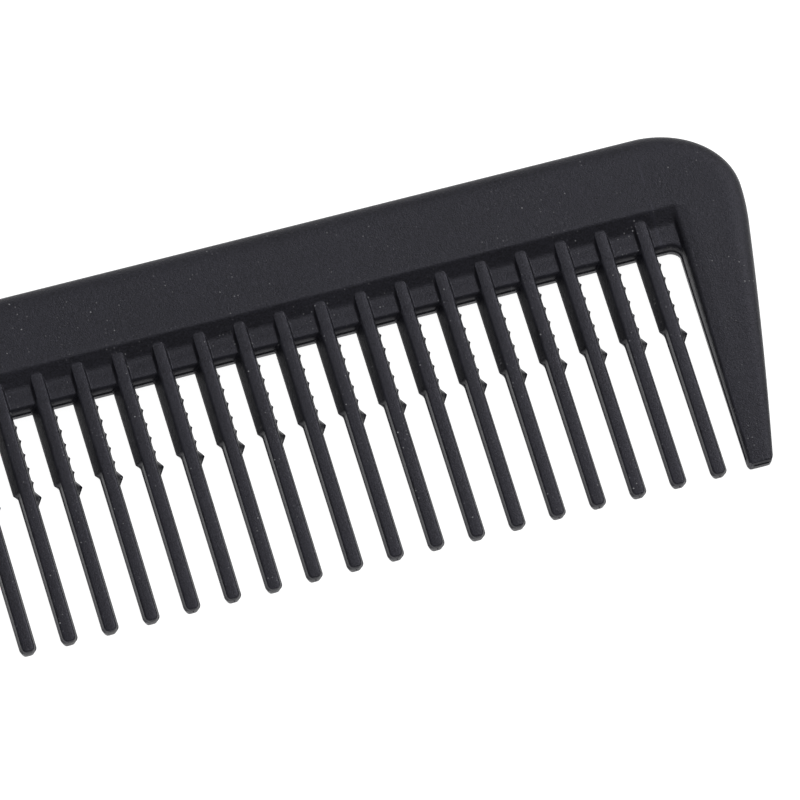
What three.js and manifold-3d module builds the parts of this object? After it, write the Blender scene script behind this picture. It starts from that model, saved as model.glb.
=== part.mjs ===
// Wide-tooth styling comb, 192 mm long, moulded in one plastic and symmetrical left to right.
// Millimetres. The comb lies flat on its back face: X runs along its length, Y from the tooth tips
// to the spine, Z through its thickness. The origin is the centre of its underside.
import * as THREE from 'three';
import { mergeVertices } from 'three/addons/utils/BufferGeometryUtils.js';
import Module from 'manifold-3d';

const wasm = await Module();
wasm.setup();

// ---- driving dimensions ----
const TOOTH_COUNT = 34;
const PITCH = 5;
const HEIGHT = 44.1; // top of the spine to the tooth tips
const THICKNESS = 4.4;
const SPINE_FACE = 9.85; // flat face of the spine, from its top edge to the slope
const SLOPE_RUN = 2.08; // slope from the face down to the tooth rail
const RAIL_FACE = 2.67; // recessed rail between the slope and the gaps
const RAIL_THICKNESS = 2.4;
const RAIL_CHAMFER = 0.4;
const EDGE_ROUND_RUN = 0.6; // rounding of the outer edges, across the face
const EDGE_ROUND_DROP = 0.9; // and through the thickness
const EDGE_ROUND_STEPS = 2;

const ROOT_THICKNESS = 3.5; // teeth at the rail
const TIP_THICKNESS = 1.8; // teeth at the tips
const RIB_FACE_WIDTH = 1.4; // flat front and back of a tooth
const RIB_SIDE_WIDTH = 1.7; // rib of a tooth over the rail
const RIB_END_RUN = 3.9; // how far the rib of a tooth climbs over the rail and the slope
const LOWER_WIDTH = 2.04; // tooth at the parting plane, below the shoulder
const SHOULDER_REACH = 1.48; // left edge of the upper half, from the tooth axis
const SHOULDER_DROP = 10.07; // length of the upper half
const FLANK_STEP = 0.25; // parting plane to the foot of a slanted flank
const SIDE_STEP = 0.1; // and of a side below the shoulder
const SECTION_OVERLAP = 1; // the lower half starts inside the upper half
const SCALLOP_COUNT = 5;
const SCALLOP_PITCH = 1.82;
const SCALLOP_START = 1.48; // rail edge to the first point
const SCALLOP_RISE = 0.6; // length of the slant up to each point
const SCALLOP_DEPTH = 0.28;
const SCALLOP_PLATE = 0.8; // thickness of the scalloped edge
const BARB_DROP = 10.85; // rail edge to the tip of the barb
const BARB_REACH = 0.6;
const BARB_LENGTH = 1.9;
const BARB_PLATE = 1.2;
const BARB_BLUNTING = 0.3; // flat at the tip of the barb
const TIP_ROUND = 0.7;

const SEAM_GAP = 1.9; // axis of the last tooth to the end of the spine and the rail
const END_TOOTH_GAP = 3.88; // axis of the last tooth to the inner edge of the end tooth
const END_TOOTH_ROOT_WIDTH = 9.05;
const END_TOOTH_TIP_WIDTH = 3.15;
const END_TOOTH_LEAN = 0.37; // inner edge, from the rail to the tip
const END_TOOTH_BULGE = 0.4; // outer edge, out of straight
const END_TOOTH_TAPER_DROP = 4.5; // rail edge to the start of its taper in thickness
const END_TOOTH_TIP_THICKNESS = 2;
const END_TOOTH_TIP_ROUND = 0.9;
const CORNER_GAP = 0.55; // end of the spine to the start of the corner
const CORNER_RUN = 11.1; // rounded top corner, along the length
const CORNER_DROP = 8.9; // and down the end
const CORNER_TO_EDGE = 2.6; // below the corner, where the end turns into the outer edge
const FILLET = 1.35; // rail edge to inner edge of the end tooth

// ---- fineness of the curves, and room for cutting shapes ----
const MERGE_TOLERANCE = 1e-5;
const TIP_STEPS = 2;
const TIP_SEGMENTS = 3;
const RIB_SEGMENTS = 4;
const PLAN_SEGMENTS = 8;
const CUT_SPARE = 3; // how far a cutting shape runs past what it cuts

// ---- levels and places worked out from them ----
const HALF = THICKNESS / 2;
const TOP = HEIGHT / 2;
const TIP = -HEIGHT / 2;
const SLOPE_TOP = TOP - SPINE_FACE;
const SLOPE_FOOT = SLOPE_TOP - SLOPE_RUN;
const ROOT = SLOPE_FOOT - RAIL_FACE;
const LAST_TOOTH = ((TOOTH_COUNT - 1) * PITCH) / 2;
const SEAM = LAST_TOOTH + SEAM_GAP;
const INNER_EDGE = LAST_TOOTH + END_TOOTH_GAP;
const INNER_TIP = INNER_EDGE - END_TOOTH_LEAN;
const OUTER_TIP = INNER_TIP + END_TOOTH_TIP_WIDTH;
const OUTER_EDGE = INNER_EDGE + END_TOOTH_ROOT_WIDTH;
const CORNER_START = SEAM + CORNER_GAP;
const END = CORNER_START + CORNER_RUN;

// ---- materials ----
function plastic(hex, roughness) {
  return new THREE.MeshStandardMaterial({ color: hex, roughness, metalness: 0 });
}
const facePlastic = plastic(0x2b2c2f, 0.5);
const railPlastic = plastic(0x242528, 0.48);
const toothPlastic = plastic(0x2d2e31, 0.46);

// ---- solids ----
// A closed three.js geometry, extruded along Z, as a manifold solid.
function solidOf(geometry) {
  const bare = geometry.clone();
  bare.deleteAttribute('normal');
  bare.deleteAttribute('uv');
  const merged = mergeVertices(bare, MERGE_TOLERANCE);
  return new wasm.Manifold(new wasm.Mesh({
    numProp: 3,
    vertProperties: Float32Array.from(merged.attributes.position.array),
    triVerts: Uint32Array.from(merged.index.array),
  }));
}

function geometryOf(solid) {
  const mesh = solid.getMesh();
  const geometry = new THREE.BufferGeometry();
  geometry.setAttribute('position', new THREE.BufferAttribute(mesh.vertProperties, 3));
  geometry.setIndex(new THREE.BufferAttribute(mesh.triVerts, 1));
  const flat = geometry.toNonIndexed();
  flat.computeVertexNormals();
  return flat;
}

// Plan shape, extruded through the thickness between -half and +half.
function plate(shape, half, curveSegments = 1) {
  const geometry = new THREE.ExtrudeGeometry(shape, { depth: 2 * half, bevelEnabled: false, curveSegments });
  geometry.translate(0, 0, -half);
  return solidOf(geometry);
}

// Plan shape with the rounded outer edges of the comb.
function roundedPlate(shape, curveSegments) {
  const flatDepth = THICKNESS - 2 * EDGE_ROUND_DROP;
  const geometry = new THREE.ExtrudeGeometry(shape, {
    depth: flatDepth,
    bevelEnabled: true,
    bevelThickness: EDGE_ROUND_DROP,
    bevelSize: EDGE_ROUND_RUN,
    bevelOffset: -EDGE_ROUND_RUN,
    bevelSegments: EDGE_ROUND_STEPS,
    curveSegments,
  });
  geometry.translate(0, 0, -flatDepth / 2);
  return solidOf(geometry);
}

// Side profile, given as [y, z] points, extruded along X from x0 to x1.
function beamAlongX(profile, x0, x1) {
  const shape = new THREE.Shape(profile.map(([y, z]) => new THREE.Vector2(y, z)));
  const geometry = new THREE.ExtrudeGeometry(shape, { depth: x1 - x0, bevelEnabled: false });
  geometry.applyMatrix4(new THREE.Matrix4().set(
    0, 0, 1, x0,
    1, 0, 0, 0,
    0, 1, 0, 0,
    0, 0, 0, 1,
  ));
  return solidOf(geometry);
}

// Cross-section, given as [x, z] points, extruded along Y from y0 to y1.
function beamAlongY(section, y0, y1) {
  const shape = new THREE.Shape(section.map(([x, z]) => new THREE.Vector2(x, z)));
  const geometry = new THREE.ExtrudeGeometry(shape, { depth: y1 - y0, bevelEnabled: false });
  geometry.applyMatrix4(new THREE.Matrix4().set(
    1, 0, 0, 0,
    0, 0, -1, y1,
    0, 1, 0, 0,
    0, 0, 0, 1,
  ));
  return solidOf(geometry);
}

// Half an outline, with its mirror image across the parting plane.
function mirrored(half) {
  return [...half, ...half.map(([a, z]) => [a, -z]).reverse()];
}

// ---- spine ----
function spineProfile() {
  const half = [[SLOPE_TOP, HALF]];
  for (let step = EDGE_ROUND_STEPS; step >= 0; step -= 1) {
    const turn = (step / EDGE_ROUND_STEPS) * (Math.PI / 2);
    half.push([
      TOP - EDGE_ROUND_RUN + EDGE_ROUND_RUN * Math.cos(turn),
      HALF - EDGE_ROUND_DROP + EDGE_ROUND_DROP * Math.sin(turn),
    ]);
  }
  return mirrored(half);
}

function buildSpine() {
  return beamAlongX(spineProfile(), -SEAM, SEAM);
}

// ---- tooth rail and the slope above it, with the ribs of the teeth running over them ----
function railProfile() {
  return mirrored([
    [ROOT, RAIL_THICKNESS / 2 - RAIL_CHAMFER],
    [ROOT + RAIL_CHAMFER, RAIL_THICKNESS / 2],
    [SLOPE_FOOT, RAIL_THICKNESS / 2],
    [SLOPE_TOP, HALF],
  ]);
}

function ribOverRail() {
  const side = RIB_SIDE_WIDTH / 2;
  const shape = new THREE.Shape();
  shape.moveTo(-side, ROOT);
  shape.lineTo(side, ROOT);
  shape.lineTo(side, ROOT + RIB_END_RUN - side);
  shape.absarc(0, ROOT + RIB_END_RUN - side, side, 0, Math.PI);
  shape.closePath();
  return plate(shape, ROOT_THICKNESS / 2, RIB_SEGMENTS);
}

// The slope and the rail, in that order, parted at the slope's foot.
function buildSlopeAndRail() {
  const rib = ribOverRail();
  const ribs = toothPlaces().map((x) => rib.translate([x, 0, 0]));
  const both = wasm.Manifold.union([beamAlongX(railProfile(), -SEAM, SEAM), ...ribs]);
  return both.splitByPlane([0, 1, 0], SLOPE_FOOT);
}

// ---- teeth ----
function toothPlaces() {
  return Array.from({ length: TOOTH_COUNT }, (_, index) => index * PITCH - LAST_TOOTH);
}

// Half of the side view of a tip: its rounded end and the start of its taper.
function tipSide(halfThickness, round) {
  return Array.from({ length: TIP_STEPS + 1 }, (_, step) => {
    const turn = (step / TIP_STEPS) * (Math.PI / 2);
    return [TIP + round * (1 - Math.cos(turn)), halfThickness - round * (1 - Math.sin(turn))];
  });
}

// Upper half: a rib with slanted flanks down to the parting plane, wider on its left.
function upperSection() {
  const face = RIB_FACE_WIDTH / 2;
  return mirrored([
    [LOWER_WIDTH / 2, FLANK_STEP],
    [face, ROOT_THICKNESS / 2],
    [-face, ROOT_THICKNESS / 2],
    [-SHOULDER_REACH, FLANK_STEP],
  ]);
}

function lowerSection() {
  const face = RIB_FACE_WIDTH / 2;
  return mirrored([
    [LOWER_WIDTH / 2, SIDE_STEP],
    [face, ROOT_THICKNESS / 2],
    [-face, ROOT_THICKNESS / 2],
    [-LOWER_WIDTH / 2, SIDE_STEP],
  ]);
}

// Right edge of the upper half: points with shallow scoops between them.
function scallopStrip() {
  const edge = LOWER_WIDTH / 2;
  const last = ROOT - SCALLOP_START - (SCALLOP_COUNT - 1) * SCALLOP_PITCH;
  const shape = new THREE.Shape();
  shape.moveTo(0, ROOT);
  shape.lineTo(0, last - SCALLOP_PITCH / 2);
  shape.lineTo(edge, last - SCALLOP_PITCH / 2);
  for (let index = SCALLOP_COUNT - 1; index >= 0; index -= 1) {
    const point = ROOT - SCALLOP_START - index * SCALLOP_PITCH;
    shape.lineTo(edge + SCALLOP_DEPTH, point);
    shape.lineTo(edge, point + SCALLOP_RISE);
  }
  shape.lineTo(edge, ROOT);
  shape.closePath();
  return plate(shape, SCALLOP_PLATE / 2);
}

function barb() {
  const edge = LOWER_WIDTH / 2;
  const middle = ROOT - BARB_DROP;
  const shape = new THREE.Shape();
  shape.moveTo(0, middle + BARB_LENGTH / 2);
  shape.lineTo(0, middle - BARB_LENGTH / 2);
  shape.lineTo(edge, middle - BARB_LENGTH / 2);
  shape.lineTo(edge + BARB_REACH, middle - BARB_BLUNTING / 2);
  shape.lineTo(edge + BARB_REACH, middle + BARB_BLUNTING / 2);
  shape.lineTo(edge, middle + BARB_LENGTH / 2);
  shape.closePath();
  return plate(shape, BARB_PLATE / 2);
}

// Plan window that rounds the tip of a tooth.
function tipWindow() {
  const reach = SHOULDER_REACH + CUT_SPARE;
  const side = LOWER_WIDTH / 2;
  const shape = new THREE.Shape();
  shape.moveTo(-reach, ROOT);
  shape.lineTo(-reach, TIP + CUT_SPARE);
  shape.lineTo(-side, TIP + CUT_SPARE);
  shape.lineTo(-side, TIP + TIP_ROUND);
  shape.quadraticCurveTo(-side, TIP, 0, TIP);
  shape.quadraticCurveTo(side, TIP, side, TIP + TIP_ROUND);
  shape.lineTo(side, TIP + CUT_SPARE);
  shape.lineTo(reach, TIP + CUT_SPARE);
  shape.lineTo(reach, ROOT);
  shape.closePath();
  return plate(shape, HALF, TIP_SEGMENTS);
}

function buildTooth() {
  const upper = beamAlongY(upperSection(), ROOT - SHOULDER_DROP, ROOT);
  const lower = beamAlongY(lowerSection(), TIP, ROOT - SHOULDER_DROP + SECTION_OVERLAP);
  const body = wasm.Manifold.union([upper, lower, scallopStrip(), barb()]);
  const thickness = mirrored([...tipSide(TIP_THICKNESS / 2, TIP_ROUND), [ROOT, ROOT_THICKNESS / 2]]);
  return body.intersect(beamAlongX(thickness, -PITCH / 2, PITCH / 2)).intersect(tipWindow());
}

// ---- end tooth with the rounded corner of the comb, at the right end ----
function endToothPlan() {
  const tipTop = TIP + END_TOOTH_TIP_ROUND;
  const outerSlope = (OUTER_EDGE - OUTER_TIP) / (ROOT - TIP);
  const cornerFoot = TOP - CORNER_DROP;
  const shape = new THREE.Shape();
  shape.moveTo(SEAM - CUT_SPARE, ROOT);
  shape.lineTo(INNER_EDGE - FILLET, ROOT);
  shape.quadraticCurveTo(INNER_EDGE, ROOT, INNER_EDGE, ROOT - FILLET);
  shape.lineTo(INNER_TIP, tipTop);
  shape.quadraticCurveTo(INNER_TIP, TIP, INNER_TIP + END_TOOTH_TIP_ROUND, TIP);
  shape.lineTo(OUTER_TIP - END_TOOTH_TIP_ROUND, TIP);
  shape.quadraticCurveTo(OUTER_TIP, TIP, OUTER_TIP + outerSlope * END_TOOTH_TIP_ROUND, tipTop);
  shape.quadraticCurveTo(
    (OUTER_TIP + OUTER_EDGE) / 2 + END_TOOTH_BULGE, (TIP + ROOT) / 2,
    OUTER_EDGE, ROOT,
  );
  shape.quadraticCurveTo(END, cornerFoot - CORNER_TO_EDGE, END, cornerFoot);
  shape.absellipse(CORNER_START, cornerFoot, CORNER_RUN, CORNER_DROP, 0, Math.PI / 2);
  shape.lineTo(SEAM - CUT_SPARE, TOP);
  shape.closePath();
  return shape;
}

// The end tooth alone, with its inner edge carried up past the slope.
function endToothBar() {
  const lean = END_TOOTH_LEAN / (ROOT - FILLET - TIP);
  const barTop = SLOPE_TOP + CUT_SPARE;
  const shape = new THREE.Shape();
  shape.moveTo(INNER_TIP, TIP);
  shape.lineTo(END, TIP);
  shape.lineTo(END, barTop);
  shape.lineTo(INNER_EDGE + lean * (barTop - ROOT), barTop);
  shape.closePath();
  return roundedPlate(shape, 1);
}

// What the slope and the rail leave open in front of them.
function recess() {
  const front = beamAlongX([
    [ROOT - CUT_SPARE, RAIL_THICKNESS / 2 - RAIL_CHAMFER],
    [ROOT, RAIL_THICKNESS / 2 - RAIL_CHAMFER],
    [ROOT + RAIL_CHAMFER, RAIL_THICKNESS / 2],
    [SLOPE_FOOT, RAIL_THICKNESS / 2],
    [SLOPE_TOP, HALF],
    [SLOPE_TOP, HALF + CUT_SPARE],
    [ROOT - CUT_SPARE, HALF + CUT_SPARE],
  ], SEAM - CUT_SPARE, INNER_EDGE + CUT_SPARE);
  return front.add(front.mirror([0, 0, 1]));
}

function buildEndTooth() {
  const opening = recess().subtract(endToothBar());
  const thickness = mirrored([
    ...tipSide(END_TOOTH_TIP_THICKNESS / 2, END_TOOTH_TIP_ROUND),
    [ROOT - END_TOOTH_TAPER_DROP, HALF],
    [TOP, HALF],
  ]);
  const window = beamAlongX(thickness, SEAM, END);
  return roundedPlate(endToothPlan(), PLAN_SEGMENTS).subtract(opening).intersect(window);
}

// ---- assembly ----
const comb = new THREE.Group();
const body = new THREE.Group();
body.position.z = HALF;
comb.add(body);

function addPart(name, solid, material, x = 0) {
  const mesh = new THREE.Mesh(geometryOf(solid), material);
  mesh.name = name;
  mesh.position.x = x;
  body.add(mesh);
}

addPart('spine', buildSpine(), facePlastic);
const [slope, toothRail] = buildSlopeAndRail();
addPart('slope', slope, facePlastic);
addPart('tooth_rail', toothRail, railPlastic);
const endTooth = buildEndTooth();
addPart('end_tooth_right', endTooth, facePlastic);
addPart('end_tooth_left', endTooth.mirror([1, 0, 0]), facePlastic);
const tooth = buildTooth();
toothPlaces().forEach((x, index) => {
  addPart(`tooth_${String(index + 1).padStart(2, '0')}`, tooth, toothPlastic, x);
});

export default comb;
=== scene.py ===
import math

import bpy
import numpy as np
from mathutils import Matrix, Vector


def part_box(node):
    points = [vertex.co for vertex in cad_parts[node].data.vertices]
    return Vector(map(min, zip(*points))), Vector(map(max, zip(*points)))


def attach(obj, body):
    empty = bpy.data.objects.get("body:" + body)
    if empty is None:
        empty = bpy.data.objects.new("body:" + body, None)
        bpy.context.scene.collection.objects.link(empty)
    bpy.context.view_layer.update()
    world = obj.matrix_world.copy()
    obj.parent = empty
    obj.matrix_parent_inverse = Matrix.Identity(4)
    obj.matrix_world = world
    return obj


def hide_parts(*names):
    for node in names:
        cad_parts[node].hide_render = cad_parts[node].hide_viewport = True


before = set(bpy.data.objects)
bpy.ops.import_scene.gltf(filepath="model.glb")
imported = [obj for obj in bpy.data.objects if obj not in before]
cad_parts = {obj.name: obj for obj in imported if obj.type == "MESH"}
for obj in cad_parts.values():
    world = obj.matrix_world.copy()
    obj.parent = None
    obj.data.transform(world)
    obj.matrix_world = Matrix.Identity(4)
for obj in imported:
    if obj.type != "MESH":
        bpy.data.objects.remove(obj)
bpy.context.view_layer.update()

# Shapes are worked out in millimetres, in the frame's axes, and written to meshes in metres.
MM = 0.001

# ---- places taken from the frame ----


def corners(node):
    lo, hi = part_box(node)
    return np.array(lo) / MM, np.array(hi) / MM


spine_lo, spine_hi = corners("spine")
rail_lo, _ = corners("tooth_rail")
end_lo, end_hi = corners("end_tooth_right")
TOOTH_NODES = sorted(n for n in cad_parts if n.startswith("tooth_") and n != "tooth_rail")

HALF = (spine_hi[2] - spine_lo[2]) / 2
MIDDLE = (spine_hi[2] + spine_lo[2]) / 2
TOP = spine_hi[1]
SLOPE_TOP = spine_lo[1]
ROOT = rail_lo[1]
SEAM = spine_hi[0]
TIP = end_lo[1]
END = end_hi[0]

# ---- sizes that the visible shape adds ----
SHOULDER_REACH = 1.48  # left edge of a tooth's upper half, from the tooth's axis
RAIL_HALF = 1.2  # half thickness of the rail
RIB_HALF = 1.75  # of a tooth at the rail
TIP_HALF = 0.9  # and of a tooth at its tip
PITCH = 5.0
SLOPE_RUN = 2.08  # from the foot of the slope to the face
SLOPE_FOOT = SLOPE_TOP - SLOPE_RUN

TOOTH_AXES = {n: corners(n)[0][0] + SHOULDER_REACH for n in TOOTH_NODES}
LAST_AXIS = max(TOOTH_AXES.values())


def smoothstep(low, high, value):
    t = np.clip((np.asarray(value, float) - low) / (high - low), 0, 1)
    return t * t * (3 - 2 * t)


def smooth_max(a, b, width):
    """The larger of a and b, with a fillet where they cross."""
    blend = np.maximum(width - np.abs(a - b), 0)
    return np.maximum(a, b) + blend * blend / np.maximum(4 * width, 1e-9)


def smooth_min(a, b, width):
    return -smooth_max(-a, -b, width)


def rounding(distance, run, power=2.8):
    """How far into its rounded edge a point is: 0 past the run, 1 at the edge, raised to the power."""
    return np.clip((run - distance) / run, 0, 1) ** power


def fall(total, power=2.8):
    return np.clip(1 - total, 0, 1) ** (1 / power)


def hump(value, middle, spread):
    return np.exp(-(((value - middle) / spread) ** 2))


def mix(a, b, share):
    return a + (b - a) * share


# ---- mesh building ----


def loft(rings):
    """Closed rings of points joined by quads, with a flat cap at each end."""
    count, size, _ = rings.shape
    points = rings.reshape(-1, 3)
    ahead = np.roll(np.arange(size), -1)
    start = np.arange(count - 1)[:, None] * size
    a = start + np.arange(size)
    b = start + ahead
    faces = np.stack([a, b, b + size, a + size], axis=-1).reshape(-1, 4).tolist()
    faces.append(list(range(size))[::-1])
    faces.append(list(range((count - 1) * size, count * size)))
    return points, faces


def volume(points, faces):
    total = 0.0
    for face in faces:
        p = points[face]
        total += np.einsum("i,ji->", p[0], np.cross(p[1:-1], p[2:]))
    return total


def mark_edges(mesh):
    """Write how sharply the surface bends outward at each point, from 0 to 1, for the wear and the painted
    edge highlight.
    """
    count = len(mesh.vertices)
    places, normals = np.empty(count * 3), np.empty(count * 3)
    ends = np.empty(len(mesh.edges) * 2, dtype=int)
    mesh.vertices.foreach_get("co", places)
    mesh.vertices.foreach_get("normal", normals)
    mesh.edges.foreach_get("vertices", ends)
    places, normals, ends = places.reshape(-1, 3) / MM, normals.reshape(-1, 3), ends.reshape(-1, 2)
    gap = places[ends[:, 1]] - places[ends[:, 0]]
    turn = normals[ends[:, 1]] - normals[ends[:, 0]]
    bend = (gap * turn).sum(1) / np.maximum((gap * gap).sum(1), 0.0025)
    sharpest = np.zeros(count)
    np.maximum.at(sharpest, ends[:, 0], bend)
    np.maximum.at(sharpest, ends[:, 1], bend)
    layer = mesh.attributes.new("edge", "FLOAT", "POINT")
    layer.data.foreach_set("value", np.clip(sharpest * 0.22, 0, 1))


def new_mesh(name, rings, crease=42):
    points, faces = loft(rings)
    points = points + np.array([0, 0, MIDDLE])
    if volume(points, faces) < 0:
        faces = [face[::-1] for face in faces]
    mesh = bpy.data.meshes.new(name)
    mesh.from_pydata((points * MM).tolist(), [], faces)
    mesh.validate()
    mesh.shade_smooth()
    mesh.set_sharp_from_angle(angle=math.radians(crease))
    mark_edges(mesh)
    return mesh


def add_piece(name, mesh, node, material):
    piece = bpy.data.objects.new(name, mesh)
    bpy.context.scene.collection.objects.link(piece)
    mesh.materials.clear()
    mesh.materials.append(material)
    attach(piece, "root")
    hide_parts(node)
    return piece


def bezier(a, b, c, count):
    t = np.linspace(0, 1, count)[:, None]
    return (1 - t) ** 2 * np.array(a) + 2 * t * (1 - t) * np.array(b) + t**2 * np.array(c)


# ---- the profile that the spine, the slope and the rail share ----
DISH = 0.07  # depth of the dish in the face
DISH_MIDDLE = SLOPE_TOP + 3.8
DISH_REACH = 3.3
RAIL_SWELL = 0.035  # crown along the middle of the rail
SLOPE_FILLET = 0.2  # between the slope and the rail
FACE_BLEND = 0.12  # rounding between the face and what falls away from it
TOP_RUN = 2.9  # rounding of the outer edge, across the face
TOP_LEDGE = 0.02  # step at the parting plane, along the outer edge
RAIL_EDGE = ROOT - 0.24
RAIL_RUN = 0.62  # rounding of the rail's edge on the front
RAIL_BACK_RUN = 0.3  # and on the back
RAIL_POWER = 2.3
RAIL_LEDGE = 0.15  # step at the parting plane, along the rail
SEAM_STEPS = np.array([0, 0.01, 0.025, 0.05])  # rows beside the seam of the spine and the slope


def face_level(y):
    """Half thickness over the face, which sinks a little between its two rims."""
    return HALF - DISH * np.clip(1 - ((y - DISH_MIDDLE) / DISH_REACH) ** 2, 0, 1)


def recess_level(y):
    """Half thickness over the slope and the rail."""
    slope = RAIL_HALF + (y - SLOPE_FOOT) / SLOPE_RUN * (HALF - RAIL_HALF)
    rail = RAIL_HALF + RAIL_SWELL * hump(y, ROOT + 1.05, 0.65)
    return smooth_max(slope, rail, SLOPE_FILLET)


def body_level(y):
    """Half thickness from the top edge down to the rail."""
    face = face_level(y)
    below = smooth_min(recess_level(y), face, FACE_BLEND)
    return np.where(y > SLOPE_TOP + 1, face, below)


def closed_profile(front_y, front, back_y, back):
    """Ring of [y, z]: out along the front level and back along the back level."""
    return np.concatenate([np.stack([front_y, front], 1), np.stack([back_y, -back], 1)[::-1]])


def section_at(x, profile):
    return np.column_stack([np.full(len(profile), x), profile])


def build_spine(material):
    back_y = np.concatenate([
        SLOPE_TOP + SEAM_STEPS,
        np.linspace(SLOPE_TOP + 0.08, SLOPE_TOP + 1.2, 16),
        np.linspace(SLOPE_TOP + 1.5, TOP - TOP_RUN, 12)[:-1],
        TOP - TOP_RUN + TOP_RUN * np.sin(np.linspace(0, 1, 40) * math.pi / 2),
    ])
    front_y = back_y - TOP_LEDGE * smoothstep(TOP - TOP_RUN, TOP, back_y)
    back = body_level(back_y) * fall(rounding(TOP - back_y, TOP_RUN))
    front = body_level(front_y) * fall(rounding(TOP - TOP_LEDGE - front_y, TOP_RUN))
    profile = closed_profile(front_y, front, back_y, back)
    rings = np.array([section_at(x, profile) for x in (-SEAM, SEAM)])
    add_piece("spine_body", new_mesh("spine_body", rings), "spine", material)


# ---- ribs of the teeth over the rail ----
CREST_HALF_WIDTH = 0.7
CREST_RADIUS = 6.5  # crown across a tooth
UPPER_HALF_WIDTH = 1.11
LOWER_HALF_WIDTH = 1.08
RIB_END = 3.95  # rail edge to the top end of a rib
RIB_END_RUN = 0.6  # length over which that end rounds off
RIB_END_INSET = 0.42  # how much narrower it gets
RIB_END_SINK = 0.07  # and how much lower
RIB_CREST_BLEND = 0.26
RIB_FOOT_BLEND = 0.17
RIB_FILLET_START = 0.8
RIB_FILLET_RUN = 0.3
RIB_FILLET_RISE = 0.26


def rib_level(x, y):
    """Height of the rib whose axis is at x = 0, over the parting plane."""
    crest = RIB_HALF - x**2 / (2 * CREST_RADIUS)
    draft = (UPPER_HALF_WIDTH - CREST_HALF_WIDTH) / RIB_HALF
    end = np.clip((y - (ROOT + RIB_END - RIB_END_RUN)) / RIB_END_RUN, 0, None)
    inset = RIB_END_INSET * np.clip(end, 0, 1.5) ** 2.4
    side = (UPPER_HALF_WIDTH - inset - np.abs(x)) / draft
    crest = crest - RIB_END_SINK * end**2
    return smooth_min(crest, side, RIB_CREST_BLEND)


def rib_fillet(x, y):
    """Height that the fillet at the foot of a rib adds to the rail."""
    near = np.clip(1 - (abs(x) - RIB_FILLET_START) / RIB_FILLET_RUN, 0, 1) ** 3
    return RIB_FILLET_RISE * near * (1 - smoothstep(SLOPE_FOOT - 0.3, SLOPE_FOOT + 0.9, y))


def rail_columns():
    """Places along X of the rail's sections, close together beside the ribs."""
    near = np.concatenate([
        np.linspace(0.1, 0.4, 4), np.linspace(0.46, 1.12, 23), np.linspace(1.2, 2.5, 6),
    ])
    offsets = np.concatenate([-near[::-1], [0], near[:-1]])
    columns = np.concatenate([axis + offsets for axis in sorted(TOOTH_AXES.values())])
    columns = columns[(columns > -SEAM + 1e-3) & (columns < SEAM - 1e-3)]
    return np.concatenate([[-SEAM], columns, [SEAM]])


def rail_surface(x, y, ledge):
    """Height of the slope, the rail and its ribs; the ledge is 0 on the back."""
    nearest = (x + LAST_AXIS + PITCH / 2) % PITCH - PITCH / 2
    run = RAIL_RUN if ledge else RAIL_BACK_RUN
    edge = fall(rounding(y - RAIL_EDGE - ledge, run, RAIL_POWER), RAIL_POWER)
    base = body_level(y) * edge
    if abs(x) > LAST_AXIS + PITCH / 2:
        return base
    base = base + rib_fillet(nearest, y) * edge
    return smooth_max(base, rib_level(nearest, y), RIB_FOOT_BLEND * edge)


def build_rail(material):
    back_y = np.concatenate([
        SLOPE_TOP - SEAM_STEPS,
        np.linspace(SLOPE_TOP - 0.08, SLOPE_TOP - 1.5, 34),
        np.linspace(SLOPE_TOP - 1.55, SLOPE_FOOT - 0.4, 12),
        np.linspace(SLOPE_FOOT - 0.6, RAIL_EDGE + 0.65, 10),
        RAIL_EDGE + 0.55 * (1 - np.sin(np.linspace(0, 1, 20) * math.pi / 2)),
    ])
    front_y = back_y + RAIL_LEDGE * (1 - smoothstep(RAIL_EDGE, RAIL_EDGE + 1.5, back_y))
    rings = []
    for x in rail_columns():
        profile = closed_profile(
            front_y, rail_surface(x, front_y, RAIL_LEDGE), back_y, rail_surface(x, back_y, 0)
        )
        rings.append(section_at(x, profile))
    mesh = new_mesh("tooth_rail_body", np.array(rings))
    piece = add_piece("tooth_rail_body", mesh, "tooth_rail", material)
    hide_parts("slope")
    return piece


# ---- teeth ----
# A drop is a distance from the rail edge toward the tip.
EMBED = 0.7  # how far a tooth reaches into the rail
SHOULDER_DROP = 10.1
SCALLOPS = [1.48 + 1.82 * k for k in range(5)]
SCALLOP_DEPTH = 0.24
SCALLOP_RISE = 0.38  # length of the slant up to a scallop's point
SCALLOP_RETURN = 0.62  # and of the slant back down
SCALLOP_HALF = 0.8  # half thickness of the scalloped edge
BARB_DROP = 10.85
BARB_REACH = 0.58
BARB_RISE = 0.85
BARB_RETURN = 0.95
BARB_HALF = 0.95
BARB_BLUNTING = 0.006
TIP_RUN = 0.8  # rounding of the tip, in plan
TIP_POWER = 2.2
TIP_EDGE = 0.18  # rounding of the tip, through the thickness
TIP_EDGE_POWER = 1.8
NIB = 0.1
NIB_RINGS = ((0.5, 0.02), (0.35, 0.06), (0.1, NIB))  # share of the tip's section, and drop
NIB_SHARE = 0.55  # share of the teeth that have a nib
TOOTH_LEDGE = 0.19  # step at the parting plane on the front
RIGHT_STEP = 0.2  # height of that step on the right edge
LEFT_STEP = 0.04  # on the left edge at the root
LEFT_STEP_GROWTH = 0.3  # and how much it grows to the tip
BACK_STEP = 0.01
LEFT_CREST = 0.8
RIGHT_CREST = 0.77
FLANK_REACH = SHOULDER_REACH + 0.04
FLANK_FOOT = 0.22
ROOT_FILLET = 0.34  # fillet in plan between the rail and a tooth's left flank
ROOT_FILLET_RUN = 0.6
RELIEF_POINTS = 14  # points of a half section that the scallops and the barb move


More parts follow.
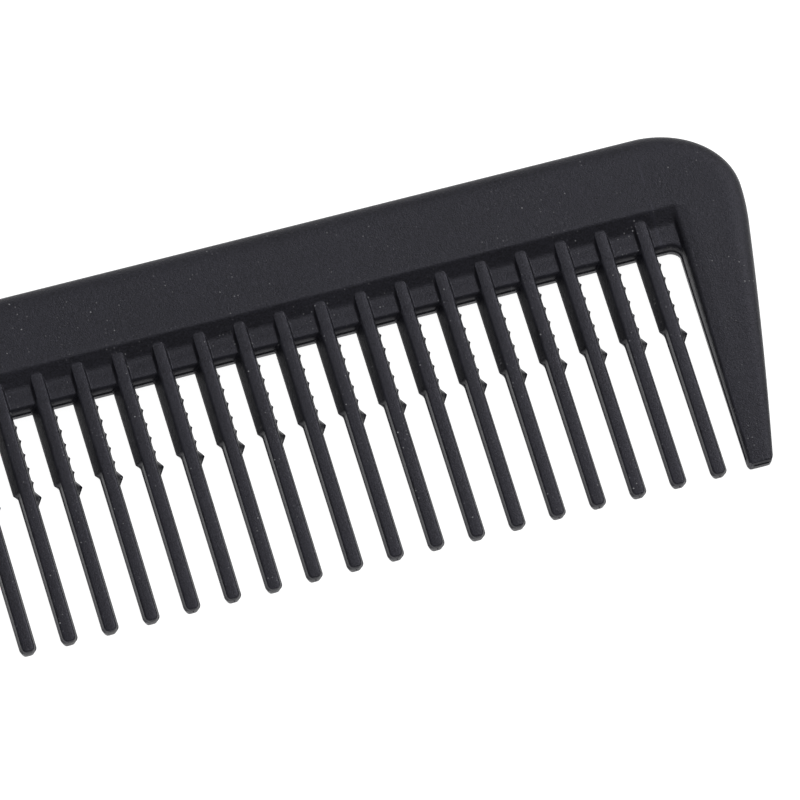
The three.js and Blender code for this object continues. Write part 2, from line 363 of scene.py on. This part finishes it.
def tooth_stations(length):
    """Drops at which a tooth's sections are made, close together where its outline turns."""
    return np.concatenate([
        [-EMBED],
        np.arange(-0.35, 0.5, 0.07),
        np.arange(0.5, SHOULDER_DROP - 0.4, 0.1),
        np.arange(SHOULDER_DROP - 0.35, BARB_DROP + 1.1, 0.06),
        np.arange(BARB_DROP + 1.2, length - TIP_RUN, 1.2),
        length - TIP_RUN * (1 - np.sin(np.linspace(0, 1, 20) * math.pi / 2)),
    ])


def rounded_corner(before, corner, after, radius, count):
    """Points round a corner of a section, from one straight side to the next."""
    back, ahead = np.array(before) - corner, np.array(after) - corner
    back_length, ahead_length = np.hypot(*back), np.hypot(*ahead)
    start = corner + back * min(radius / back_length, 0.48)
    end = corner + ahead * min(radius / ahead_length, 0.48)
    return bezier(start, corner, end, count)


def edge_relief(drop, z):
    """How far the scallops and the barb stand out of the right edge."""
    nearest = min(SCALLOPS, key=lambda place: abs(drop - place))
    reach = SCALLOP_RISE if drop < nearest else SCALLOP_RETURN
    scallop = SCALLOP_DEPTH * max(0.0, 1 - abs(drop - nearest) / reach) ** 1.7
    relief = scallop * np.clip(1 - (z / SCALLOP_HALF) ** 2, 0, 1)
    lengthwise = (drop - BARB_DROP) / (BARB_RISE if drop < BARB_DROP else BARB_RETURN)
    spread = np.sqrt(lengthwise**2 + (z / BARB_HALF) ** 2 + BARB_BLUNTING)
    return np.maximum(relief, BARB_REACH * np.clip(1.077 - spread, 0, 1))


def half_section(drop, length, front):
    """One half of a tooth's section, as [x, height] points from its left edge to its right edge."""
    along = np.clip(drop / length, 0, 1)
    height = mix(RIB_HALF, TIP_HALF, along)
    upper = smoothstep(-0.6, 0.0, drop) * (1 - smoothstep(SHOULDER_DROP - 0.27, SHOULDER_DROP + 0.27, drop))
    lower_half = LOWER_HALF_WIDTH - 0.05 * along
    root_fillet = ROOT_FILLET * np.clip(1 - drop / ROOT_FILLET_RUN, 0, 1) ** 2.5
    left = mix(lower_half, FLANK_REACH + root_fillet, upper)
    right = mix(UPPER_HALF_WIDTH, lower_half, smoothstep(BARB_DROP, BARB_DROP + 1, drop))
    ledge = TOOTH_LEDGE * (1 - 0.3 * along) if front else 0.02
    step = RIGHT_STEP if front else BACK_STEP
    left_step = LEFT_STEP + LEFT_STEP_GROWTH * along
    left_wall = left - mix(0.85 * ledge, 0.04, upper)
    right_wall = right - ledge
    foot = np.array([
        mix(-(left_wall + LEFT_CREST) / 2, -left_wall + 0.03, upper),
        mix(0.55 * height, FLANK_FOOT, upper),
    ])
    left_foot = np.array([-left_wall, mix(left_step, BACK_STEP, upper) if front else BACK_STEP])
    wall_foot = np.array([right_wall, step])
    crest_left = np.array([-LEFT_CREST + 0.03 * along, height])
    crest_right = np.array([RIGHT_CREST - 0.03 * along, height])
    corner_left = rounded_corner(foot, crest_left, crest_right, 0.22, 8)
    corner_right = rounded_corner(crest_left, crest_right, wall_foot, 0.32, 10)
    top = mix(corner_left[-1], corner_right[0], np.linspace(0, 1, 8)[1:-1, None])
    wall = mix(corner_right[-1], wall_foot, np.linspace(0, 1, 10)[1:, None] ** 0.8)
    points = np.concatenate([
        [[-left, 0.0], [-left_wall, 0.0]],
        rounded_corner(left_foot, foot, crest_left, 0.2, 5),
        corner_left, top, corner_right, wall, [[right, 0.0]],
    ])
    points[:, 1] -= points[:, 1] / height * points[:, 0] ** 2 / (2 * CREST_RADIUS)
    tip = fall(rounding(length - drop, TIP_RUN, TIP_POWER), TIP_POWER)
    edge = fall(rounding(length - drop, TIP_EDGE, TIP_EDGE_POWER), TIP_EDGE_POWER)
    points *= [0.1 + 0.9 * tip, 0.2 + 0.8 * edge]
    points[-RELIEF_POINTS:, 0] += edge_relief(drop, points[-RELIEF_POINTS:, 1])
    left_height = left_step * edge if front else BACK_STEP
    points[[0, 1, -2, -1], 1] = [0.0, left_height, step * edge + BACK_STEP, 0.0]
    return points


def tooth_ring(drop, length):
    """A tooth's whole section; its halves share their two end points."""
    front = half_section(drop, length, True)
    back = half_section(drop, length, False)[-2:0:-1] * [1, -1]
    section = np.concatenate([front, back])
    return np.column_stack([section[:, 0], np.full(len(section), ROOT - drop), section[:, 1]])


def tooth_mesh(nib):
    """A tooth on the axis x = 0, with or without a small nib left at its tip by the mould."""
    length = ROOT - TIP - (NIB if nib else 0.02)
    rings = [tooth_ring(drop, length) for drop in tooth_stations(length)]
    if nib:
        last = rings[-2]
        for share, drop in NIB_RINGS:
            ring = last * [share, 1, share]
            ring[:, 1] = ROOT - length - drop
            rings.append(ring)
    return new_mesh("tooth_body", np.array(rings))


def build_teeth(material):
    variants = [tooth_mesh(False), tooth_mesh(True)]
    draws = np.random.default_rng(7).random(len(TOOTH_NODES))
    for node, draw in zip(TOOTH_NODES, draws):
        mesh = variants[int(draw < NIB_SHARE)].copy()
        mesh.transform(Matrix.Translation((TOOTH_AXES[node] * MM, 0, 0)))
        add_piece(f"{node}_body", mesh, node, material)


# ---- end teeth ----
END_TOOTH_GAP = 3.88  # axis of the last tooth to the inner edge
INNER_EDGE = LAST_AXIS + END_TOOTH_GAP
INNER_LEAN = 0.37  # of the inner edge, from the fillet to the tip
TIP_WIDTH = 3.15
ROOT_WIDTH = 9.05
END_TIP_HALF = 0.92
TAPER_DROP = 4.5  # rail edge to the start of the taper in thickness
CORNER_RUN = 11.1  # rounded top corner, along the length
CORNER_DROP = 8.9  # and down the end
CORNER_TO_EDGE = 2.6
EDGE_BULGE = 0.4  # outer edge, out of straight
FILLET = 1.35  # in plan, between the rail and the inner edge
END_TIP = TIP + 0.12
END_TIP_RUN = 0.2  # rounding of the tip, through the thickness
END_TIP_POWER = 1.8
END_CORNER = 1.1  # rounding of the tip, in plan
END_LEDGE = 0.12  # step at the parting plane, down the inner edge
BEVEL_TILT = 0.1  # of the strip of the face beside the inner edge
FLANK_POWER = 2.6
BEAD_RISE = 0.08  # fine ridge where the slope meets the inner flank
BEAD_SPREAD = 0.12
MITRE_BLEND = 0.1
TIP_ROW_REACH = 1.0  # stretch before the tip with rows close together
SPOKE_COUNT = 90  # sections round the corner
STEPS_FROM_EDGE = np.array(
    [0, 0.004, 0.012, 0.025, 0.045, 0.07, 0.1, 0.14, 0.19, 0.25, 0.32, 0.4, 0.5, 0.62, 0.76, 0.92]
)


def inner_line(y):
    return INNER_EDGE - INNER_LEAN * (ROOT - FILLET - y) / (ROOT - FILLET - TIP)


def outer_outline():
    """From the seam along the top, round the corner and down the outer edge to the tip."""
    foot = TOP - CORNER_DROP
    start = END - CORNER_RUN
    turn = np.linspace(math.pi / 2, 0, 90)
    corner = np.stack([start + CORNER_RUN * np.cos(turn), foot + CORNER_DROP * np.sin(turn)], 1)
    outer_tip = INNER_EDGE - INNER_LEAN + TIP_WIDTH
    root = (INNER_EDGE + ROOT_WIDTH, ROOT)
    side = bezier((END, foot), (END, foot - CORNER_TO_EDGE), root, 30)
    middle = ((outer_tip + root[0]) / 2 + EDGE_BULGE, (TIP + ROOT) / 2)
    edge = bezier(root, middle, (outer_tip, TIP), 120)
    return np.concatenate([[(SEAM, TOP)], corner, side[1:], edge[1:]])


def inner_outline():
    """From the seam along the rail edge, round the fillet and down the inner edge to the tip."""
    rise = RAIL_EDGE - ROOT + FILLET
    turn = np.linspace(math.pi / 2, 0, 60)
    fillet = np.stack(
        [INNER_EDGE - FILLET + FILLET * np.cos(turn), ROOT - FILLET + rise * np.sin(turn)], 1
    )
    return np.concatenate([[(SEAM, RAIL_EDGE)], fillet, [(INNER_EDGE - INNER_LEAN, TIP)]])


def measure(path):
    """Distance along the path to each of its points."""
    return np.concatenate([[0], np.cumsum(np.hypot(*np.diff(path, axis=0).T))])


def along(path, shares):
    """Points at the given shares of the path's length."""
    places = measure(path)
    wanted = np.asarray(shares) * places[-1]
    return np.stack([np.interp(wanted, places, path[:, k]) for k in (0, 1)], 1)


def share_at(path, y):
    """Share of its length at which a falling path comes down to y."""
    places = measure(path)
    return np.interp(-y, -path[:, 1], places) / places[-1]


def distance_to(path, x, y):
    """Shortest distance from each point to the path."""
    a, b = path[:-1], path[1:]
    d = b - a
    p = np.stack([x, y], -1)[..., None, :]
    t = np.clip(((p - a) * d).sum(-1) / (d * d).sum(-1), 0, 1)
    return np.sqrt((((a + t[..., None] * d) - p) ** 2).sum(-1)).min(-1)


def end_level(x, y, outer, inner, ledge):
    """Half thickness of the end tooth and its corner at points in plan; the ledge is 0 on the back."""
    taper = np.clip((ROOT - TAPER_DROP - y) / (ROOT - TAPER_DROP - TIP), 0, 1)
    thick = mix(HALF, END_TIP_HALF, taper)
    near_spine = (1 - smoothstep(SEAM, SEAM + 8, x)) * smoothstep(4, SLOPE_TOP, y)
    face = thick + (face_level(np.maximum(y, SLOPE_TOP)) - HALF) * near_spine
    inner_run = 0.5 + 0.45 * smoothstep(-9, 9, y)
    outer_run = np.minimum(TOP_RUN, 2.8 + 0.062 * (y - 5))
    from_inner = x - inner_line(y) - ledge
    from_outer = distance_to(outer, x, y) - TOP_LEDGE * (ledge > 0)
    from_tip = y - END_TIP - ledge
    bevel_run = inner_run + 0.55 + 0.5 * smoothstep(-20, 0, y)
    bevel = BEVEL_TILT * smooth_max(bevel_run - from_inner, 0 * x, 0.5)
    flank = (face - bevel) * fall(rounding(from_inner, inner_run, FLANK_POWER), FLANK_POWER)
    flank = np.where(from_inner > 0, flank, 0.0)
    run = RAIL_RUN if ledge else RAIL_BACK_RUN
    rail_edge = fall(rounding(distance_to(inner, x, y) - ledge, run, RAIL_POWER), RAIL_POWER)
    base = recess_level(y) * rail_edge * smoothstep(ROOT - 3.0, ROOT - 0.5, y)
    bead = BEAD_RISE * hump(base, flank, BEAD_SPREAD) * smoothstep(RAIL_HALF + 0.02, RAIL_HALF + 0.2, base)
    joined = smooth_max(base, flank, MITRE_BLEND) + bead
    level = smooth_min(joined, face, FACE_BLEND * (1 - smoothstep(INNER_EDGE, INNER_EDGE + 2.2, x)))
    tip = fall(rounding(from_tip, END_TIP_RUN, END_TIP_POWER), END_TIP_POWER)
    return level * fall(rounding(from_outer, outer_run)) * (0.25 + 0.75 * tip)


def station_points(start, finish, middle_count=84):
    """Points on the line from start to finish, close together near both ends."""
    length = np.hypot(*(finish - start))
    near = STEPS_FROM_EDGE * min(1.0, length / 3.5)
    middle = np.linspace(near[-1], length - near[-1], middle_count + 2)[1:-1]
    d = np.concatenate([near, middle, (length - near)[::-1]])
    return start + (finish - start) * (d / length)[:, None]


def end_tooth_lines(outer, inner):
    """Lines from the inner to the outer outline: fanned round the corner, then level down to the tip."""
    level_y = ROOT - FILLET
    starts = along(inner, np.linspace(0, share_at(inner, level_y), SPOKE_COUNT))
    ends = along(outer, np.linspace(0, share_at(outer, level_y), SPOKE_COUNT))
    pairs = list(zip(starts, ends))
    last_rows = END_TIP + TIP_ROW_REACH
    rows = np.concatenate([
        np.linspace(level_y, last_rows, 64)[1:],
        last_rows - np.sin(np.linspace(0.04, 1, 26) * math.pi / 2) * 0.998,
    ])
    side = outer[outer[:, 1] < ROOT + 3][::-1]
    for y in rows:
        tip = 1 - fall(rounding(y - END_TIP, END_CORNER, 2.0), 2.2)
        left, right = inner_line(y) + 1.0 * tip, np.interp(y, side[:, 1], side[:, 0]) - 0.8 * tip
        pairs.append((np.array([left, y]), np.array([right, y])))
    return pairs


def end_tooth_rings():
    outer, inner = outer_outline(), inner_outline()
    rings = []
    for start, finish in end_tooth_lines(outer, inner):
        direction = (finish - start) / np.hypot(*(finish - start))
        ledge = mix(END_LEDGE, RAIL_LEDGE, smoothstep(ROOT - 4, ROOT - 0.5, start[1]))
        back = station_points(start, finish)
        front = station_points(start + direction * ledge, finish - direction * TOP_LEDGE)
        front_z = end_level(*front.T, outer, inner, ledge)
        back_z = end_level(*back.T, outer, inner, 0.0)
        rings.append(np.concatenate([
            np.column_stack([front, front_z]), np.column_stack([back, -back_z])[::-1],
        ]))
    return np.array(rings)


def build_end_teeth(material):
    rings = end_tooth_rings()
    for side, name in ((1, "end_tooth_right"), (-1, "end_tooth_left")):
        mesh = new_mesh(f"{name}_body", rings * [side, 1, 1])
        add_piece(f"{name}_body", mesh, name, material)


# ---- materials ----
PLASTIC_IOR = 1.5
SHEEN_TINT = (0.87, 0.86, 1.0, 1)
DUST_COLOUR = (0.3, 0.3, 0.31)


class Nodes:
    """Short way to add and link shader nodes."""

    def __init__(self, name):
        self.material = bpy.data.materials.new(name)
        self.material.use_nodes = True
        self.tree = self.material.node_tree
        self.shader = self.tree.nodes["Principled BSDF"]

    def add(self, kind, **settings):
        node = self.tree.nodes.new(kind)
        for key, value in settings.items():
            setattr(node, key, value)
        return node

    def link(self, source, target):
        self.tree.links.new(source, target)


def plastic(name, colour, gloss, roughness, grain, depth):
    """Matte black moulded plastic: fine spark-eroded grain, uneven sheen, worn edges painted lighter as a
    painted edge highlight, scuffs and dust.
    """
    n = Nodes(name)
    n.shader.inputs["IOR"].default_value = PLASTIC_IOR
    n.shader.inputs["Specular IOR Level"].default_value = gloss
    n.shader.inputs["Specular Tint"].default_value = SHEEN_TINT
    place = n.add("ShaderNodeTexCoord").outputs["Object"]

    def noise(size, detail=2.0, stretch=None):
        source = place
        if stretch:
            shape = n.add("ShaderNodeMapping")
            shape.inputs["Scale"].default_value = stretch
            shape.inputs["Rotation"].default_value = (0, 0, 0.35)
            n.link(place, shape.inputs["Vector"])
            source = shape.outputs["Vector"]
        texture = n.add("ShaderNodeTexNoise")
        texture.inputs["Scale"].default_value = 1 / (size * MM)
        texture.inputs["Detail"].default_value = detail
        n.link(source, texture.inputs["Vector"])
        return texture.outputs["Fac"]

    def span(source, low, high, to_low=0.0, to_high=1.0):
        ranged = n.add("ShaderNodeMapRange", clamp=True)
        for key, value in zip(("From Min", "From Max", "To Min", "To Max"), (low, high, to_low, to_high)):
            ranged.inputs[key].default_value = value
        n.link(source, ranged.inputs["Value"])
        return ranged.outputs["Result"]

    def math_node(operation, a, b):
        node = n.add("ShaderNodeMath", operation=operation)
        for socket, value in zip(node.inputs, (a, b)):
            if isinstance(value, float):
                socket.default_value = value
            else:
                n.link(value, socket)
        return node.outputs["Value"]

    def blend(share, a, b):
        node = n.add("ShaderNodeMix", data_type="RGBA")
        n.link(share, node.inputs[0])
        for socket, value in ((node.inputs[6], a), (node.inputs[7], b)):
            if isinstance(value, tuple):
                socket.default_value = (*value, 1)
            else:
                n.link(value, socket)
        return node.outputs[2]

    # wear on the convex edges, painted lighter so that it also paints an edge highlight, and short scuffs
    # in loose groups
    edge = n.add("ShaderNodeAttribute", attribute_name="edge").outputs["Fac"]
    patches = noise(14, 3)
    cloud = noise(2.2, 3)
    edge_wear_and_highlight = math_node("MULTIPLY", edge, span(cloud, 0.35, 0.65))
    scratches = span(noise(0.3, 1, (0.3, 2.0, 1.0)), 0.73, 0.78)
    scuffs = math_node("MULTIPLY", scratches, span(noise(7, 2), 0.5, 0.62))

    # dust: a small disc in some cells of a fine pattern, most of them faint, in clusters
    specks = n.add("ShaderNodeTexVoronoi", feature="F1", voronoi_dimensions="2D")
    specks.inputs["Scale"].default_value = 1 / (0.5 * MM)
    n.link(place, specks.inputs["Vector"])
    chosen = n.add("ShaderNodeSeparateColor")
    n.link(specks.outputs["Color"], chosen.inputs["Color"])
    dust = math_node(
        "MULTIPLY",
        span(specks.outputs["Distance"], 0.08, 0.24, 1.0, 0.0),
        span(chosen.outputs["Red"], 0.72, 0.74),
    )
    dust = math_node("MULTIPLY", dust, span(noise(5, 3), 0.47, 0.66))
    brightness = math_node("ADD", math_node("POWER", chosen.outputs["Green"], 8.0), 0.08)
    dust = math_node("MULTIPLY", dust, brightness)

    # colour
    mottle = math_node("ADD", span(patches, 0.3, 0.7, 0.0, 0.3), span(noise(0.2, 1), 0.3, 0.7, 0.0, 0.7))
    base = blend(mottle, (0, 0, 0), tuple(c * 2.2 for c in colour))
    # convex edges painted lighter: partly wear, partly a painted highlight along the edges
    base = blend(edge_wear_and_highlight, base, tuple(c * 2.6 for c in colour))
    base = blend(scuffs, base, tuple(c * 1.5 for c in colour))
    n.link(blend(dust, base, DUST_COLOUR), n.shader.inputs["Base Color"])

    # sheen
    sheen = span(patches, 0.3, 0.7, roughness - 0.03, roughness + 0.03)
    sheen = math_node("ADD", sheen, span(cloud, 0.3, 0.7, -0.02, 0.02))
    sheen = math_node("SUBTRACT", sheen, span(edge_wear_and_highlight, 0.0, 1.0, 0.0, 0.06))
    sheen = math_node("ADD", sheen, span(scuffs, 0.0, 1.0, 0.0, 0.06))
    n.link(math_node("ADD", sheen, span(dust, 0.0, 1.0, 0.0, 0.3)), n.shader.inputs["Roughness"])

    # relief: the grain of the mould, the scuffs and the dust
    relief = math_node("ADD", noise(grain, 2), math_node("MULTIPLY", noise(grain * 2.6, 2), 0.8))
    relief = math_node("SUBTRACT", relief, math_node("MULTIPLY", scuffs, 0.35))
    relief = math_node("ADD", relief, math_node("MULTIPLY", dust, 1.5))
    bump = n.add("ShaderNodeBump")
    bump.inputs["Strength"].default_value = 1.0
    bump.inputs["Distance"].default_value = depth * MM
    n.link(relief, bump.inputs["Height"])
    n.link(bump.outputs["Normal"], n.shader.inputs["Normal"])
    return n.material


# ---- stage: floor, light and camera ----


def build_stage():
    """A plain pale floor, bright enough to stay white under the comb."""
    floor_mesh = bpy.data.meshes.new("floor")
    reach = 3.0
    floor_mesh.from_pydata(
        [(-reach, -reach, 0), (reach, -reach, 0), (reach, reach, 0), (-reach, reach, 0)], [], [(0, 1, 2, 3)]
    )
    floor = bpy.data.objects.new("floor", floor_mesh)
    bpy.context.scene.collection.objects.link(floor)
    n = Nodes("pale_floor")
    n.shader.inputs["Base Color"].default_value = (0.3, 0.3, 0.3, 1)
    n.shader.inputs["Roughness"].default_value = 0.9
    n.shader.inputs["Emission Color"].default_value = (1, 1, 1, 1)
    n.shader.inputs["Emission Strength"].default_value = 0.96
    floor_mesh.materials.append(n.material)


def softbox(name, azimuth, elevation, distance, size, radiance):
    """An even white panel that faces the comb; the azimuth turns from +X toward +Y."""
    around, up = math.radians(azimuth), math.radians(elevation)
    aim = Vector((0.03, 0, 0))
    way = Vector((math.cos(around) * math.cos(up), math.sin(around) * math.cos(up), math.sin(up)))
    data = bpy.data.lights.new(name, "AREA")
    data.shape = "RECTANGLE"
    data.size, data.size_y = size
    data.energy = radiance * size[0] * size[1] * math.pi
    light = bpy.data.objects.new(name, data)
    light.location = aim + way * distance
    light.rotation_euler = (-way).to_track_quat("-Z", "Y").to_euler()
    bpy.context.scene.collection.objects.link(light)


def build_light():
    """Soft panels above, to the right, behind and to the left, in an even pale room."""
    world = bpy.data.worlds.new("studio")
    world.use_nodes = True
    background = world.node_tree.nodes["Background"]
    background.inputs["Color"].default_value = (1, 1, 1, 1)
    background.inputs["Strength"].default_value = 0.32
    bpy.context.scene.world = world
    softbox("overhead", 55, 82, 0.6, (0.42, 0.42), 1.5)
    softbox("right", 33, 53, 1.2, (0.34, 0.34), 11.0)
    softbox("far_right", 12, 32, 1.3, (0.9, 0.5), 3.2)
    softbox("behind", 90, 18, 1.2, (1.2, 0.45), 1.6)
    softbox("left", 180, 30, 1.2, (0.6, 0.6), 0.6)
    bpy.context.scene.view_settings.view_transform = "Standard"


CAMERA_AZIMUTH = -24.92  # degrees round from -Y
CAMERA_ELEVATION = 67.84
CAMERA_ROLL = 9.03
CAMERA_TARGET = (48.585, -2.62, 2.2)
CAMERA_DISTANCE = 1.039  # metres


def build_camera():
    """The comb seen from above its tips and a little from the left, with a long lens."""
    azimuth, elevation, roll = map(math.radians, (CAMERA_AZIMUTH, CAMERA_ELEVATION, CAMERA_ROLL))
    target = Vector(CAMERA_TARGET) * MM
    back = Vector((
        math.sin(azimuth) * math.cos(elevation),
        -math.cos(azimuth) * math.cos(elevation),
        math.sin(elevation),
    ))
    data = bpy.data.cameras.new("camera")
    data.lens = 393.75
    data.sensor_width = 36
    data.clip_end = 20
    camera = bpy.data.objects.new("camera", data)
    turn = (-back).to_track_quat("-Z", "Y").to_matrix().to_4x4() @ Matrix.Rotation(roll, 4, "Z")
    camera.matrix_world = Matrix.Translation(target + back * CAMERA_DISTANCE) @ turn
    bpy.context.scene.collection.objects.link(camera)
    bpy.context.scene.camera = camera


body_plastic = plastic("body_plastic", (0.0058, 0.0058, 0.0078), 0.27, 0.42, 0.16, 0.055)
tooth_plastic = plastic("tooth_plastic", (0.006, 0.006, 0.008), 0.23, 0.35, 0.14, 0.03)
build_spine(body_plastic)
build_rail(tooth_plastic)
build_teeth(tooth_plastic)
build_end_teeth(body_plastic)
build_stage()
build_light()
build_camera()
